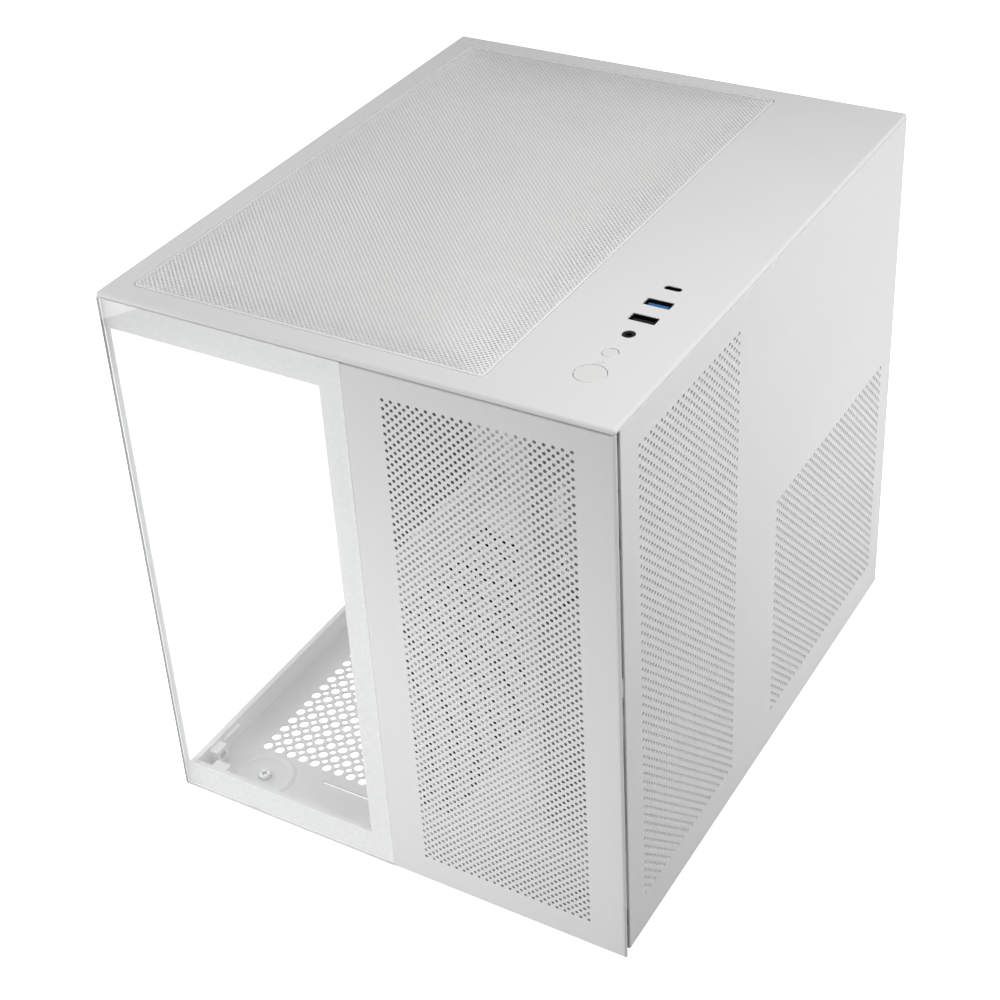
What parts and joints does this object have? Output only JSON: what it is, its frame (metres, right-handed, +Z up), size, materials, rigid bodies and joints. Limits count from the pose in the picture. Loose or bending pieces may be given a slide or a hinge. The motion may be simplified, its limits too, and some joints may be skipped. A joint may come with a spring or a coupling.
{
  "type": "desktop computer tower",
  "caption": "White dual-chamber computer case with a glass corner, perforated steel panels, a magnetic top filter, top ports, and bays for board, power supply and drives.",
  "frame": {"origin": "on the ground under the middle of the case, centre of its footprint", "axes": "+X to the right seen from the front, +Y to the rear, +Z up; the front faces -Y"},
  "size_m": [0.3, 0.369, 0.355],
  "materials": {
    "white_steel": "fine-textured white powder coat, satin",
    "clear_glass": "clear tempered glass, polished edges",
    "white_print": "white ceramic print behind the glass",
    "white_plastic": "moulded, fine matt",
    "filter_mesh_white": "fine woven filter mesh, white",
    "black_rubber": "matt black rubber",
    "zinc_steel": "zinc-plated, satin",
    "white_screw": "white coated, knurled",
    "brass_standoff": "bright turned brass",
    "circuit_board": "dark solder mask",
    "port_shell": "dark plated steel",
    "black_plastic": "moulded black plastic",
    "blue_plastic": "moulded blue plastic",
    "light_diffuser": "milky light pipe"
  },
  "bodies": {
    "chassis": {"base_pan": "white_steel", "left_sill": "white_steel", "front_sill": "white_steel", "rear_right_sills": "white_steel", "rear_panel": "white_steel", "mainboard_tray": "white_steel", "cable_tie_loops": "white_steel", "front_post": "white_steel", "rear_left_post": "white_steel", "right_top_rail": "white_steel", "front_vent_panel": "white_steel", "top_fan_tray": "white_steel", "top_panel": "white_steel", "io_bracket": "white_steel", "psu_shelf": "white_steel", "drive_cage": "white_steel", "ssd_plate": "white_steel", "slot_covers": "white_steel", "slot_shelf": "white_steel", "feet": "white_plastic", "glass_sockets": "white_plastic", "button_housing": "white_plastic", "lead_sockets": "white_plastic", "foot_pads": "black_rubber", "psu_pads": "black_rubber", "foot_screws": "zinc_steel", "bracket_screws": "zinc_steel", "slot_cover_screws": "zinc_steel", "io_board_screws": "zinc_steel", "chassis_rivets": "zinc_steel", "mainboard_standoffs": "brass_standoff", "io_board": "circuit_board", "usb_c_shell": "port_shell", "usb_3_shell": "port_shell", "usb_2_shell": "port_shell", "usb_c_tongue": "black_plastic", "usb_2_tongue": "black_plastic", "headphone_jack": "black_plastic", "button_switches": "black_plastic", "usb_3_tongue": "blue_plastic", "light_pipe": "light_diffuser"},
    "front_glass_panel": {"front_glass": "clear_glass", "front_glass_print": "white_print", "front_glass_studs": "zinc_steel"},
    "side_glass_panel": {"side_glass": "clear_glass", "side_glass_studs": "zinc_steel"},
    "right_panel": {"right_side_panel": "white_steel", "right_panel_tabs": "white_steel"},
    "upper_thumbscrew": {"thumbscrew_upper": "white_screw"},
    "lower_thumbscrew": {"thumbscrew_lower": "white_screw"},
    "top_filter": {"filter_frame": "white_plastic", "filter_mesh": "filter_mesh_white", "filter_magnets": "black_rubber"},
    "power_button": {"power_button_cap": "white_plastic"},
    "reset_button": {"reset_button_cap": "white_plastic"},
    "left_drive_sled": {"drive_sled_left": "white_plastic", "drive_sled_left_grommets": "black_rubber"},
    "right_drive_sled": {"drive_sled_right": "white_plastic", "drive_sled_right_grommets": "black_rubber"}
  },
  "joints": [
    {"name": "power_button_press", "type": "slide", "parent": "chassis", "child": "power_button", "axis": [0, 0, -1], "range_m": [0, 0.0012], "stiffness_N_per_m": 700, "springref_m": -0.0008},
    {"name": "reset_button_press", "type": "slide", "parent": "chassis", "child": "reset_button", "axis": [0, 0, -1], "range_m": [0, 0.0012], "stiffness_N_per_m": 700, "springref_m": -0.0008},
    {"name": "side_glass_pull", "type": "slide", "parent": "chassis", "child": "side_glass_panel", "axis": [-1, 0, 0], "range_m": [0, 0.08]},
    {"name": "front_glass_pull", "type": "slide", "parent": "chassis", "child": "front_glass_panel", "axis": [0, -1, 0], "range_m": [0, 0.08]},
    {"name": "right_panel_slide", "type": "slide", "parent": "chassis", "child": "right_panel", "axis": [0, 1, 0], "range_m": [0, 0.35]},
    {"name": "top_filter_lift", "type": "slide", "parent": "chassis", "child": "top_filter", "axis": [0, 0, 1], "range_m": [0, 0.08]},
    {"name": "left_sled_slide", "type": "slide", "parent": "chassis", "child": "left_drive_sled", "axis": [0, -1, 0], "range_m": [0, 0.12]},
    {"name": "right_sled_slide", "type": "slide", "parent": "chassis", "child": "right_drive_sled", "axis": [0, -1, 0], "range_m": [0, 0.12]},
    {"name": "upper_thumbscrew_turn", "type": "hinge", "parent": "right_panel", "child": "upper_thumbscrew", "pos_m": [0.14, 0.1785, 0.33], "axis": [0, 1, 0], "continuous": true},
    {"name": "lower_thumbscrew_turn", "type": "hinge", "parent": "right_panel", "child": "lower_thumbscrew", "pos_m": [0.14, 0.1785, 0.212], "axis": [0, 1, 0], "continuous": true}
  ]
}
